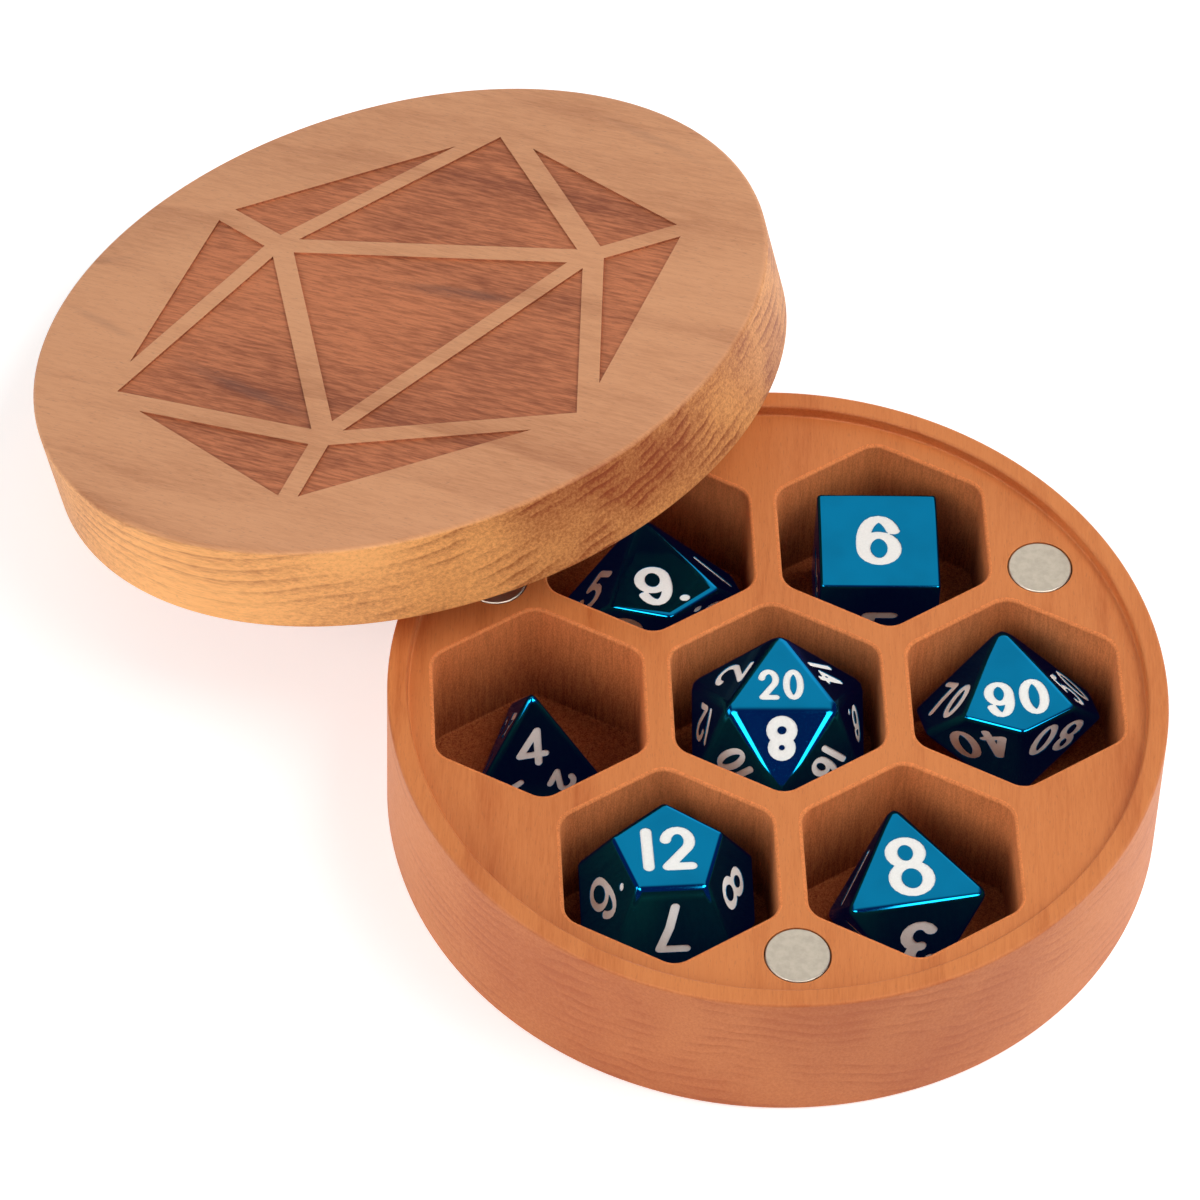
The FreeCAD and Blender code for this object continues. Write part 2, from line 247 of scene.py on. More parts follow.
class Sketch:
    """A mesh under construction, with the shading normal of every face corner."""

    def __init__(self):
        self.points = []
        self.faces = []
        self.normals = []
        self.finishes = []

    def add(self, points):
        first = len(self.points)
        self.points.extend(Vector(p) for p in points)
        return list(range(first, len(self.points)))

    def face(self, corners, normals, finish=0):
        """Adds a face, wound so that it looks the way its normals point."""
        following = corners[1:] + corners[:1]
        looks = sum((self.points[i].cross(self.points[j]) for i, j in zip(corners, following)),
                    Vector())
        if looks.dot(sum(normals, Vector())) < 0:
            corners = corners[::-1]
            normals = normals[::-1]
        self.faces.append(corners)
        self.normals.append(normals)
        self.finishes.append(finish)

    def sweep(self, loop, profile, finish=0):
        """Carries a profile round a loop; gives the first and the last ring of points."""
        rings = []
        for out, up, lean_out, lean_up in profile:
            ring = self.add(at + side * out + Vector((0, 0, up)) for at, side in loop)
            leans = [side * lean_out + Vector((0, 0, lean_up)) for _, side in loop]
            rings.append((ring, leans))
        for (low, low_leans), (high, high_leans) in zip(rings, rings[1:]):
            for i in range(len(loop)):
                j = (i + 1) % len(loop)
                self.face([low[i], low[j], high[j], high[i]],
                          [low_leans[i], low_leans[j], high_leans[j], high_leans[i]], finish)
        return rings[0][0], rings[-1][0]

    def cap(self, ring, normal, finish=0):
        self.face(list(ring), [Vector(normal)] * len(ring), finish)

    def plate(self, plane, outline, openings=(), cuts=(), depth=0.0, finishes=(0, 0, 0)):
        """Flat face inside the outline ring.

        The opening rings are left free.  The cut shapes, lists of points in the plane's own
        axes, are sunk by depth.  The finishes are those of the face, the sunk floors and walls.
        """
        to_plane = plane.inverted()
        normal = plane.to_3x3().col[2].normalized()
        rings = [list(outline)] + [list(ring) for ring in openings]
        known = [i for ring in rings for i in ring]
        flat = [(to_plane @ self.points[i]).to_2d() / MM for i in known]
        flat += [Vector(p) / MM for cut in cuts for p in cut]
        numbers = iter(range(len(flat)))
        shapes = [counter_clockwise(flat, [next(numbers) for _ in shape])
                  for shape in (*rings, *cuts)]
        places, _, pieces, origins, _, owners = delaunay_2d_cdt(flat, [], shapes, INSIDE_ONLY,
                                                                SAME_PLACE)
        top = []
        for place, origin in zip(places, origins):
            shared = [known[i] for i in origin if i < len(known)]
            top += shared[:1] or self.add([plane @ Vector((place.x * MM, place.y * MM, 0))])
        sunk = {}
        sides = {}
        for piece, inside in zip(pieces, owners):
            if 0 not in inside or any(0 < i < len(rings) for i in inside):
                continue
            is_cut = any(i >= len(rings) for i in inside)
            if is_cut:
                for a, b in zip(piece, piece[1:] + piece[:1]):
                    if a not in sunk:
                        sunk[a] = self.add([self.points[top[a]] - normal * depth])[0]
                    sides.setdefault(frozenset((a, b)), []).append(piece)
            corners = [(sunk if is_cut else top)[i] for i in piece]
            self.face(corners, [normal] * len(piece), finishes[int(is_cut)])
        for (a, b), (piece, *others) in sides.items():
            if not others:          # the cut ends here
                beyond = next(i for i in piece if i not in (a, b))
                along = (self.points[top[b]] - self.points[top[a]]).normalized()
                inward = self.points[top[beyond]] - self.points[top[a]]
                inward = (inward - along * inward.dot(along)).normalized()
                self.face([top[a], top[b], sunk[b], sunk[a]], [inward] * 4, finishes[2])

    def carry(self, place):
        """Moves every point and normal; the piece's own axes stay those of the chest."""
        turn = place.to_3x3()
        self.points = [place @ p for p in self.points]
        self.normals = [[turn @ n for n in corners] for corners in self.normals]
        return self

    def make(self, name, materials, place=Matrix.Identity(4)):
        mesh = bpy.data.meshes.new(name)
        mesh.from_pydata(self.points, [], self.faces, shade_flat=False)
        for material in materials:
            mesh.materials.append(material)
        mesh.polygons.foreach_set("material_index", self.finishes)
        mesh.normals_split_custom_set([n for corners in self.normals for n in corners])
        return put(name, mesh, place)


def rounded(corners, steps=EDGE_STEPS):
    """Profile through corners (out, up, radius), each rounded.

    Gives points (out, up, normal out, normal up); the material lies left of the way travelled.
    """
    spots = [Vector(c[:2]) for c in corners]
    ways = [(b - a).normalized() for a, b in zip(spots, spots[1:])]
    outs = [Vector((w.y, -w.x)) for w in ways]
    profile = [(*spots[0], *outs[0])]
    for i in range(1, len(spots) - 1):
        radius = corners[i][2]
        bend = -ways[i - 1].angle_signed(ways[i])       # which counts clockwise as positive
        side = 1 if bend > 0 else -1
        start = spots[i] - ways[i - 1] * radius * math.tan(abs(bend) / 2)
        centre = start - outs[i - 1] * side * radius
        for k in range(steps + 1):
            lean = outs[i - 1].copy()
            lean.rotate(Matrix.Rotation(bend * k / steps, 2))
            profile.append((*(centre + lean * side * radius), *lean))
    profile.append((*spots[-1], *outs[-1]))
    return profile


def circle(centre, steps):
    """Loop of (point, sideways direction) pairs; the profile's out value is then the radius."""
    return [(centre.copy(), side) for side in spread(steps, 1)]


def hexagon(centre, flats, corner, turn=0.0):
    """Rounded hexagon with two flats facing the turn direction and its opposite."""
    reach = (flats / 2 - corner) / math.cos(math.radians(30))
    loop = []
    for k in range(6):
        middle = turn + math.radians(30 + 60 * k)
        pivot = centre + polar(reach, middle)
        for step in range(CORNER_STEPS + 1):
            side = polar(1, middle + math.radians(60) * (step / CORNER_STEPS - 0.5))
            loop.append((pivot + side * corner, side))
    return loop


def pocket_centres(pitch, turn=0.0):
    """Middle pocket first, then the six round it, counter-clockwise."""
    return [Vector((0, 0, 0))] + spread(POCKET_COUNT, pitch, turn)


def magnet_centres(sizes, turn=0.0):
    return spread(3, sizes.ring_radius, turn + math.radians(30))


# --- shader maths ---

def joining(operation, swapped=False):
    """An operator for Value, on two numbers or two vectors; swapped for the reflected form."""
    def join(self, other):
        kind = "ShaderNodeVectorMath" if self.socket.type == "VECTOR" else "ShaderNodeMath"
        first, second = (other, self) if swapped else (self, other)
        return self.shader.node(kind, {"operation": operation}, {0: first, 1: second})
    return join


def changing(operation):
    """A method for Value, on one number."""
    return lambda self: self.shader.node("ShaderNodeMath", {"operation": operation}, {0: self})


class Value:
    """A node's output socket; Python arithmetic on it adds Math or Vector Math nodes."""

    def __init__(self, shader, socket):
        self.shader = shader
        self.socket = socket

    __add__, __radd__ = joining("ADD"), joining("ADD", swapped=True)
    __sub__, __rsub__ = joining("SUBTRACT"), joining("SUBTRACT", swapped=True)
    __mul__, __rmul__ = joining("MULTIPLY"), joining("MULTIPLY", swapped=True)
    __truediv__, __pow__ = joining("DIVIDE"), joining("POWER")
    __abs__, fraction, root = changing("ABSOLUTE"), changing("FRACT"), changing("SQRT")

    def between(self, low, high):
        """0 at low, 1 at high, with a soft start and end."""
        return self.shader.node("ShaderNodeMapRange", {"interpolation_type": "SMOOTHSTEP"},
                                {"Value": self, "From Min": low, "From Max": high})


class Shader:
    """The node tree of a new material, or of a world, built through one method."""

    def __init__(self, name, kind="materials"):
        self.owner = getattr(bpy.data, kind).new(name)
        self.owner.use_nodes = True
        self.tree = self.owner.node_tree
        self.tree.nodes.clear()

    def node(self, kind, settings=None, inputs=None, out=0):
        """Adds a node: its settings first, then the values or links of its sockets."""
        made = self.tree.nodes.new(kind)
        for key, setting in (settings or {}).items():
            setattr(made, key, setting)
        for key, given in (inputs or {}).items():
            socket = made.inputs[key]
            if isinstance(given, Value):
                self.tree.links.new(given.socket, socket)
            elif socket.type == "RGBA" and len(given) == 3:
                socket.default_value = (*given, 1.0)
            else:
                socket.default_value = given
        return Value(self, made.outputs[out]) if made.outputs else made

    def outputs(self, kind, names, inputs=None):
        """Several outputs of one node."""
        made = self.node(kind, {}, inputs).socket.node
        return [Value(self, made.outputs[name]) for name in names]

    def place(self):
        """Position in the piece's own axes, in millimetres."""
        return self.node("ShaderNodeTexCoord", out="Object") * ((1 / MM,) * 3)

    def distance(self, vector):
        """Length of a vector."""
        return self.node("ShaderNodeVectorMath", {"operation": "LENGTH"}, {0: vector}, out="Value")

    def mix(self, share, first, second):
        """Colour between first and second; a plain number is a grey."""
        first, second = ((tone,) * 3 if isinstance(tone, (int, float)) else tone
                         for tone in (first, second))
        return self.node("ShaderNodeMix", {"data_type": "RGBA"}, {0: share, 6: first, 7: second},
                         out=2)

    def noise(self, vector, waves, detail=2.0, roughness=0.5):
        """Noise from 0 to 1, with this many waves in a millimetre along each axis."""
        waves = waves if isinstance(waves, tuple) else (waves,) * 3
        return self.node("ShaderNodeTexNoise", {},
                         {"Vector": vector * waves, "Scale": 1.0, "Detail": detail,
                          "Roughness": roughness})

    def surface(self, tone, roughness, relief, others, strength, depth):
        """The finished material, of one Principled shader; its relief is depth millimetres high."""
        normal = self.node("ShaderNodeBump", {}, {"Height": relief, "Strength": strength,
                                                  "Distance": depth * MM})
        return self.finish(self.node("ShaderNodeBsdfPrincipled", {},
                                     {"Base Color": tone, "Roughness": roughness,
                                      "Normal": normal, **others}))

    def finish(self, surface, output="ShaderNodeOutputMaterial"):
        self.node(output, {}, {"Surface": surface})
        return self.owner


# --- wood ---

TRAY_BOARD = dict(fibre_turn=math.radians(86), pith_drop=150.0, pith_aside=16.0, ring_gap=1.9,
                  seed=(11.0, 3.0, 5.0))
LID_BOARD = dict(fibre_turn=math.radians(8), pith_drop=170.0, pith_aside=-9.0, ring_gap=1.7,
                 seed=(37.0, 8.0, 2.0))
RING_WANDER = 7.5               # mm that the rings stray from a circle
RING_UNEVENNESS = 0.6           # share of a ring's width by which its edge strays
LATE_WOOD = 2.2                 # how much of a ring stays pale before it darkens
TOP_SKIN = 0.05 * MM            # the lid's top has its full colour down to here
ENDLESS = 1e6                   # mm that a streak reaches through the board
# along, aside, half length, half width, slant, strength
LID_STREAKS = ((30.9, 1.6, 12.0, 1.5, 0.10, 1.0), (48.2, 28.8, 17.3, 1.4, -0.18, 0.7),
               (77.4, 23.0, 9.7, 1.1, -0.24, 0.45), (85.6, 11.0, 5.3, 0.9, 0.51, 0.4),
               (23.8, -36.0, 13.7, 1.2, -0.25, 0.45))


class Board:
    """A board's own axes, in millimetres: X along the fibres, Z up; and the marks it shows.

    The pith lies pith_drop under the board and pith_aside of its middle.
    """

    def __init__(self, name, fibre_turn, pith_drop, pith_aside, ring_gap, seed,
                 place=Matrix.Identity(4)):
        shader = Shader(name)
        here = shader.node("ShaderNodeTexCoord", out="Object")
        here = shader.node("ShaderNodeMapping", {"vector_type": "TEXTURE"},
                           {"Vector": here, "Location": place.to_translation(),
                            "Rotation": place.to_euler()})
        self.shader, self.seed = shader, seed
        self.along = place.to_3x3() @ polar(1, fibre_turn)
        self.at = shader.node("ShaderNodeMapping", {},
                              {"Vector": here, "Rotation": (0, 0, -fibre_turn),
                               "Scale": (1 / MM,) * 3, "Location": seed})
        self.across, up = shader.outputs("ShaderNodeSeparateXYZ", "YZ", {0: self.at})
        self.up = up - seed[2]
        self.pith_drop, self.pith_aside, self.ring_gap = pith_drop, pith_aside, ring_gap

    def marks(self, waves, low, high, detail=2.0, roughness=0.5):
        """Marks where a noise drawn out along the fibres goes from low to high."""
        return self.shader.noise(self.at, waves, detail, roughness).between(low, high)

    def cloud(self):
        return self.marks((0.02, 0.05, 0.05), 0.3, 0.72)

    def end_grain(self):
        """1 where the fibres end at the surface."""
        lean = self.shader.node("ShaderNodeTexCoord", out="Normal")
        ends = self.shader.node("ShaderNodeVectorMath", {"operation": "DOT_PRODUCT"},
                                {0: lean, 1: self.along}, out="Value")
        return abs(ends).between(0.3, 1.0)

    def rings(self):
        """Growth rings, dark at their outer edge and fainter in some places."""
        wander = self.shader.noise(self.at, (0.011, 0.036, 0.03), detail=2.5) - 0.5
        aside = self.across - self.pith_aside - self.seed[1]
        rise = self.up + self.pith_drop
        radius = (aside * aside + rise * rise).root() + wander * RING_WANDER
        uneven = self.shader.noise(self.at, (0.02, 0.3, 0.3), detail=1.0) * RING_UNEVENNESS
        phase = (radius / self.ring_gap + uneven).fraction()
        vigour = self.marks((0.004, 0.16, 0.16), 0.35, 0.68, detail=1.0)
        return (phase ** LATE_WOOD) * (1 - phase.between(0.86, 1.0)) * vigour

    def streaks(self, places):
        """Soft dark patches drawn out along the fibres; places in millimetres."""
        ragged = self.shader.noise(self.at, (0.07, 0.8, 0.8), detail=3.0, roughness=0.65)
        total = 0.0
        for along, aside, half_length, half_width, slant, strength in places:
            spot = self.shader.node("ShaderNodeMapping", {"vector_type": "TEXTURE"},
                                    {"Vector": self.at, "Location": (along, aside, 0),
                                     "Rotation": (0, 0, slant),
                                     "Scale": (half_length, half_width, ENDLESS)})
            away = self.shader.distance(spot) + ragged * 1.1 - 0.55
            total = total + (1 - away.between(0.1, 1.1)) * strength
        return total * ragged.between(0.2, 0.55)


def oiled_wood(board, pale, deep, dark, dark_share, contrast, streaks=0.0, roughness=0.46):
    """Close-grained wood with a dull shine."""
    shader = board.shader
    fibres = board.marks((0.26, 2.6, 2.6), 0.25, 0.75, detail=3.0, roughness=0.6)
    hairs = board.marks((0.55, 7.5, 7.5), 0.3, 0.7)
    pores = board.marks((0.95, 6.0, 6.0), 0.62, 0.74, detail=1.0)
    shade = (board.rings() * 0.38 + board.cloud() * 0.30 + fibres * contrast + hairs * 0.10
             + board.end_grain() * 0.35)
    tone = shader.mix(shade.between(0.08, 1.08), pale, deep)
    tone = shader.mix((pores * 0.5 + streaks) * dark_share, tone, dark)
    relief = fibres * 0.5 + hairs * 0.35 - pores * 0.9
    return shader.surface(tone, roughness + fibres * 0.08, relief,
                          {"Specular IOR Level": 0.35}, strength=0.22, depth=0.06)


def tray_wood(colours):
    board = Board("tray_cherry", **TRAY_BOARD)
    return oiled_wood(board, colours.tray_pale, colours.tray_deep, colours.mineral,
                      dark_share=0.3, contrast=0.22)


def lid_wood(lid, colours, place):
    """Paler on top than round the side; the side's colours carry painted light at their pale end
    and painted shade at their deep end.
    """
    board = Board("lid_cherry", **LID_BOARD, place=place)
    # top splits the top's colours from the side's, which hold painted light and painted shade
    top = board.up.between((lid.thickness - lid.edge_round) / MM,
                           (lid.thickness - TOP_SKIN) / MM)
    pale = board.shader.mix(top, colours.side_pale_lit, colours.lid_pale)
    deep = board.shader.mix(top, colours.side_deep_shaded, colours.lid_deep)
    return oiled_wood(board, pale, deep, colours.mineral, dark_share=0.4, contrast=0.24,
                      streaks=board.streaks(LID_STREAKS))


def engraved_wood(colours, place):
    """Engraved figure: browner, with the fibres standing out."""
    board = Board("engraved_cherry", **LID_BOARD, place=place)
    return oiled_wood(board, colours.engraved_pale, colours.engraved_deep, colours.mineral,
                      dark_share=0.75, contrast=0.55, streaks=board.streaks(LID_STREAKS),
                      roughness=0.62)


def shaded_pocket_wood(name, board, colours, mouth, way, place=Matrix.Identity(4)):
    """Milled walls: rougher, streaked up and down by the cutter, and darker away from the mouth
    with painted shade.

    The way from the mouth to the pocket's end is 1 up or -1 down.
    """
    board = Board(name, **board, place=place)
    upright = board.marks((2.2, 2.2, 0.22), 0.3, 0.72, detail=3.0, roughness=0.62)
    fuzz = board.marks((6.0, 6.0, 2.6), 0.3, 0.7)
    # painted shade: the wall darkens with its depth below the mouth, where shade falls into the
    # pocket
    sunk = board.up.between(*(mouth / MM + way * away for away in POCKET_SHADE))
    # upright, fuzz and cloud are the wood's own marks; sunk adds the painted shade
    shade = upright * 0.18 + fuzz * 0.22 + board.cloud() * 0.1 + sunk * 0.55
    tone = board.shader.mix(shade, colours.pocket_pale, colours.pocket_deep_and_shade)
    return board.shader.surface(tone, 0.72 + fuzz * 0.1, upright + fuzz,
                                {"Specular IOR Level": 0.2}, strength=0.35, depth=0.07)


# --- tray ---

POCKET_STRIPS = (STRIP / 2, STRIP)
SEAT_ROUNDS = (0.12 * MM, 0.1 * MM)
SEAT_STRIPS = (0.3 * MM, 0.3 * MM)


def hollow(face, end, rounds, strips, radius=0.0):
    """Profile of a hollow in a face; rounds and strips are those of its mouth and of its end."""
    corners = [(radius + strips[0], face, 0), (radius, face, rounds[0]), (radius, end, rounds[1]),
               (radius - strips[1], end, 0)]
    return rounded(corners if face > end else corners[::-1])


def add_hollows(sketch, tray, magnet, face, end, finish, turn=0.0):
    """Cuts the pockets, from a face to their end, and the magnet holes; gives their mouths."""
    up = 1 if face > end else -1
    pocket = hollow(face, end, (tray.mouth_round, tray.inside_round), POCKET_STRIPS)
    seat = hollow(face, face - up * magnet.thickness, SEAT_ROUNDS, SEAT_STRIPS, magnet.hole_radius)
    hollows = [(hexagon(centre, tray.pocket_flats, tray.pocket_corner, turn), pocket, finish)
               for centre in pocket_centres(tray.pocket_pitch, turn)]
    hollows += [(circle(centre, HOLE_STEPS), seat, 0) for centre in magnet_centres(magnet, turn)]
    mouths = []
    for loop, profile, own_finish in hollows:
        mouth, closed = sketch.sweep(loop, profile, own_finish)[::up]
        sketch.cap(closed, (0, 0, up), own_finish)
        mouths.append(mouth)
    return mouths


def sketch_tray(tray, magnet):
    sketch = Sketch()
    wall = rounded([(tray.radius - 2 * STRIP, 0, 0), (tray.radius, 0, tray.foot_round),
                    (tray.radius, tray.height, tray.rim_round),
                    (tray.recess_radius, tray.height, tray.rim_round),
                    (tray.recess_radius, tray.face_height, tray.inside_round),
                    (tray.recess_radius - STRIP / 2, tray.face_height, 0)])
    foot, face_edge = sketch.sweep(circle(Vector(), CIRCLE_STEPS), wall)
    sketch.cap(foot, (0, 0, -1))
    mouths = add_hollows(sketch, tray, magnet, tray.face_height, tray.floor, finish=1)
    sketch.plate(Matrix.Translation((0, 0, tray.face_height)), face_edge, mouths)
    return sketch


# --- lid ---

def inset_triangle(corners, insets):
    """Triangle with the side from corner i to the next moved inwards by insets[i]."""
    middle = sum(corners, Vector((0, 0, 0))) / 3
    lines = []
    for i in range(3):
        along = corners[(i + 1) % 3] - corners[i]
        normal = Vector((-along.y, along.x, 0)).normalized()
        if normal.dot(middle - corners[i]) < 0:
            normal = -normal
        lines.append((normal, normal.dot(corners[i]) + insets[i]))
    moved = []
    for i in range(3):
        (first, reach_first), (second, reach_second) = lines[i - 1], lines[i]
        area = first.x * second.y - first.y * second.x
        moved.append(Vector(((reach_first * second.y - reach_second * first.y) / area,
                             (first.x * reach_second - second.x * reach_first) / area)))
    return moved


def figure_triangles(lid):
    """The ten visible faces of a twenty-sided solid seen square on to a face."""
    half = lid.figure_bar / 2
    near, far = half - lid.figure_aside, half + lid.figure_aside
    inner = spread(3, lid.figure_inner, lid.figure_turn)
    outer = spread(6, lid.figure_outer, lid.figure_turn)
    faces = [(inner, (half, half, half))]
    for k in range(3):
        faces.append(([inner[k], inner[(k + 1) % 3], outer[2 * k + 1]], (half, near, near)))
        for side in (1, -1):
            faces.append(([inner[k], outer[2 * k], outer[(2 * k + side) % 6]], (half, 0.0, far)))
    return [inset_triangle(corners, insets) for corners, insets in faces]


def pocket_turn(lid):
    """Direction of the lid's first pocket, in the lid's own axes."""
    return lid.figure_turn - math.radians(30)


def sketch_lid(tray, lid, magnet):
    """Mating face on z = 0, boss below it."""
    sketch = Sketch()
    boss = -lid.boss_height
    wall = rounded([(lid.boss_radius - STRIP, boss, 0), (lid.boss_radius, boss, tray.rim_round),
                    (lid.boss_radius, 0, tray.inside_round), (tray.radius, 0, tray.rim_round),
                    (tray.radius, lid.thickness, lid.edge_round),
                    (tray.radius - STRIP, lid.thickness, 0)])
    boss_edge, top_edge = sketch.sweep(circle(Vector(), CIRCLE_STEPS), wall)
    mouths = add_hollows(sketch, tray, magnet, boss, lid.pocket_depth - lid.boss_height,
                         finish=2, turn=pocket_turn(lid))
    underside = Matrix.Translation((0, 0, boss)) @ Matrix.Rotation(math.pi, 4, "X")
    sketch.plate(underside, boss_edge, mouths)
    sketch.plate(Matrix.Translation((0, 0, lid.thickness)), top_edge, cuts=figure_triangles(lid),
                 depth=lid.figure_depth, finishes=(0, 1, 1))
    return sketch


def lid_place(lid):
    """Carries a piece from the lid's own axes to the leaning lid, its low edge on the table."""
    turn = Matrix.Rotation(lid.lean_downhill, 4, "Z") @ Matrix.Rotation(lid.lean_tilt, 4, "Y")
    lift = ((lid.boss_radius - LOW_EDGE_INSET) * math.sin(lid.lean_tilt)
            + lid.boss_height * math.cos(lid.lean_tilt))
    return Matrix.Translation(polar(lid.lean_out, lid.lean_side, lift)) @ turn


# --- magnets ---

def nickel_plate(colours):
    shader = Shader("magnet_nickel")
    here = shader.place()
    mottle = shader.noise(here, 1.1, detail=3.0, roughness=0.6).between(0.3, 0.7)
    tone = shader.mix(mottle, colours.nickel, darker(colours.nickel, 0.9))
    return shader.surface(tone, 0.42 + mottle * 0.1, shader.noise(here, 9.0),
                          {"Metallic": 1.0}, strength=0.15, depth=0.02)


def sketch_magnet(magnet):
    sketch = Sketch()
    profile = rounded([(magnet.radius - STRIP, 0, 0), (magnet.radius, 0, magnet.edge_round),
                       (magnet.radius, magnet.thickness, magnet.edge_round),
                       (magnet.radius - STRIP, magnet.thickness, 0)])
    low, high = sketch.sweep(circle(Vector(), HOLE_STEPS), profile)
    sketch.cap(low, (0, 0, -1))
    sketch.cap(high, (0, 0, 1))
    return sketch


# --- numerals ---

def bow(centre_x, centre_y, radius_x, radius_y, start, end, steps=10):
    """Points along part of an ellipse, angles in degrees, in a box one wide and one high."""
    turns = [math.radians(start + (end - start) * k / steps) for k in range(steps + 1)]
    return [(centre_x + radius_x * math.cos(t), centre_y + radius_y * math.sin(t)) for t in turns]


def oval(*ellipse):
    """A closed ellipse, in two strokes."""
    return [bow(*ellipse, 90, 270), bow(*ellipse, -90, 90)]


def turned_over(strokes):
    return [[(1 - x, 1 - y) for x, y in stroke] for stroke in strokes]


SIX = oval(0.5, 0.31, 0.5, 0.31) + [bow(0.52, 0.45, 0.52, 0.55, 30, 180) + [(0.0, 0.31)]]
STROKES = {
    "0": oval(0.5, 0.5, 0.5, 0.5),
    "1": [[(0, 0), (0, 1)]],
    "2": [bow(0.5, 0.7, 0.5, 0.3, 172, -38, 12) + [(0.02, 0.0)], [(0.02, 0), (1, 0)]],
    "3": [bow(0.46, 0.76, 0.44, 0.24, 155, -90), bow(0.48, 0.27, 0.52, 0.27, 90, -155)],
    "4": [[(0.72, 0), (0.72, 1)], [(0.72, 1), (0.0, 0.26)], [(0.0, 0.26), (1.0, 0.26)]],
    "5": [[(0.9, 1), (0.2, 1)], [(0.2, 1), (0.08, 0.52)], bow(0.46, 0.32, 0.52, 0.32, 140, -150)],
    "6": SIX,
    "7": [[(0, 1), (1, 1)], [(1, 1), (0.62, 0.5), (0.4, 0)]],
    "8": oval(0.5, 0.77, 0.42, 0.23) + oval(0.5, 0.27, 0.5, 0.27),
    "9": turned_over(SIX),
    ".": [[(0, 0), (0, 0.002)]],
}
NARROW = "1."                   # glyphs that are one stroke wide
STROKE_END_STEPS = 6            # sides of the half circle that ends a stroke


def round_end(end, side):
    """Half circle round a stroke's end, from one side to the other."""
    steps = STROKE_END_STEPS
    return [end + Matrix.Rotation(math.pi * k / steps, 2) @ side for k in range(1, steps)]


def ribbon(points, width, nib):
    """Outline of a round-ended stroke along the points; a level stroke is nib times as thick."""
    points = [Vector((x, y / nib)) for x, y in points]
    ways = [(b - a).normalized() for a, b in zip(points, points[1:])]
    leads = [ways[0]] + [(a + b).normalized() for a, b in zip(ways, ways[1:])] + [ways[-1]]
    sides = [Vector((-way.y, way.x)) * width / 2 for way in leads]
    outline = [p - side for p, side in zip(points, sides)]
    outline += round_end(points[-1], -sides[-1])
    outline += [p + side for p, side in zip(reversed(points), reversed(sides))]
    outline += round_end(points[0], sides[0])
    return [Vector((x, y * nib)) for x, y in outline]


def numeral(text, height, width, stroke, gap, nib):
    """Stroke outlines of a number, centred on the origin, reading upwards along +Y."""
    widths = [stroke if glyph in NARROW else width for glyph in text]
    left = -(sum(widths) + gap * (len(text) - 1)) / 2
    bar = stroke * nib
    outlines = []
    for glyph, glyph_width in zip(text, widths):
        for line in STROKES[glyph]:
            spots = [(left + stroke / 2 + x * (glyph_width - stroke),
                      bar / 2 - height / 2 + y * (height - bar)) for x, y in line]
            outlines.append(ribbon(spots, stroke, nib))
        left += glyph_width + gap
    return outlines


# --- dice ---

def face_ring(count, first, rise):
    """Unit directions evenly round the axis, each with the given height."""
    return spread(count, math.sqrt(1 - rise * rise), math.radians(first), rise)


def with_opposites(directions):
    return directions + [-d for d in directions]


def kite_faces():
    """Five kites round the upper point and their opposites, laid down so that one lies on top."""
    point = Vector((0, 0, KITE_POINT))
    one, two = (polar(KITE_RING, math.radians(turn), KITE_RISE) - point for turn in (-36, 36))
    slope = one.cross(two).normalized()
    ring = [Matrix.Rotation(math.radians(72 * k), 3, "Z") @ slope for k in range(5)]
    lay = Matrix.Rotation(math.pi, 3, "Z") @ Matrix.Rotation(-math.atan2(slope.x, slope.z), 3, "Y")
    return with_opposites([lay @ d for d in ring])


GOLD = (1 + math.sqrt(5)) / 2
KITE_RING = 12.6 * MM           # zigzag ring of a ten-sided die
KITE_POINT = 11.76 * MM         # centre to either point of a ten-sided die
KITE_RISE = KITE_POINT * math.tan(math.radians(18)) ** 2
TOP, BOTTOM = Vector((0, 0, 1)), Vector((0, 0, -1))
TETRA = [BOTTOM] + face_ring(3, 60, 1 / 3)
CUBE = [TOP, BOTTOM] + face_ring(4, 0, 0.0)
OCTA = with_opposites([TOP] + face_ring(3, 60, 1 / 3))
DODECA = with_opposites([TOP] + face_ring(5, 36, 1 / math.sqrt(5)))
# the top face has a corner on +X; round it lie three faces, and then six, in pairs
PAIR_TURN = math.degrees(math.acos((3 + math.sqrt(5)) / (2 * math.sqrt(8))))
PAIRS = zip(face_ring(3, PAIR_TURN, 1 / 3), face_ring(3, -PAIR_TURN, 1 / 3))
ICOSA = with_opposites([TOP] + face_ring(3, 60, math.sqrt(5) / 3) + [d for p in PAIRS for d in p])


def polyhedron(directions, inradius):
    """Corner points, and the corner loop of the face looking in each direction."""
    corners = []
    for trio in itertools.combinations(directions, 3):
        walls = Matrix(trio)
        if abs(walls.determinant()) < NEARLY_FLAT:
            continue
        spot = walls.inverted() @ Vector((inradius, inradius, inradius))
        inside = all(d.dot(spot) < inradius * (1 + SLACK) for d in directions)
        if inside and all((spot - c).length > SAME_CORNER for c in corners):
            corners.append(spot)
    loops = []
    for d in directions:
        across = d.orthogonal().normalized()
        other = d.cross(across)
        on_face = [i for i, c in enumerate(corners) if d.dot(c) > inradius * (1 - SLACK)]
        loops.append(sorted(on_face, key=lambda i: math.atan2(corners[i].dot(other),
                                                              corners[i].dot(across))))
    return corners, loops


def face_plane(direction, middle, corner, turn=0):
    """Axes on a face: Z out of it, Y from its middle to a corner, then turned."""
    up = Matrix.Rotation(math.radians(turn), 3, direction) @ (corner - middle).normalized()
    plane = Matrix((up.cross(direction), up, direction)).transposed().to_4x4()
    plane.translation = middle
    return plane


def corner_rank(corner, middle, nearest):
    """Ranks a face's corner by its nearness to the middle, or by its height, then X, then Y."""
    if nearest:
        return (corner - middle).length
    return -(corner.z + 1e-3 * corner.x + 1e-6 * corner.y)


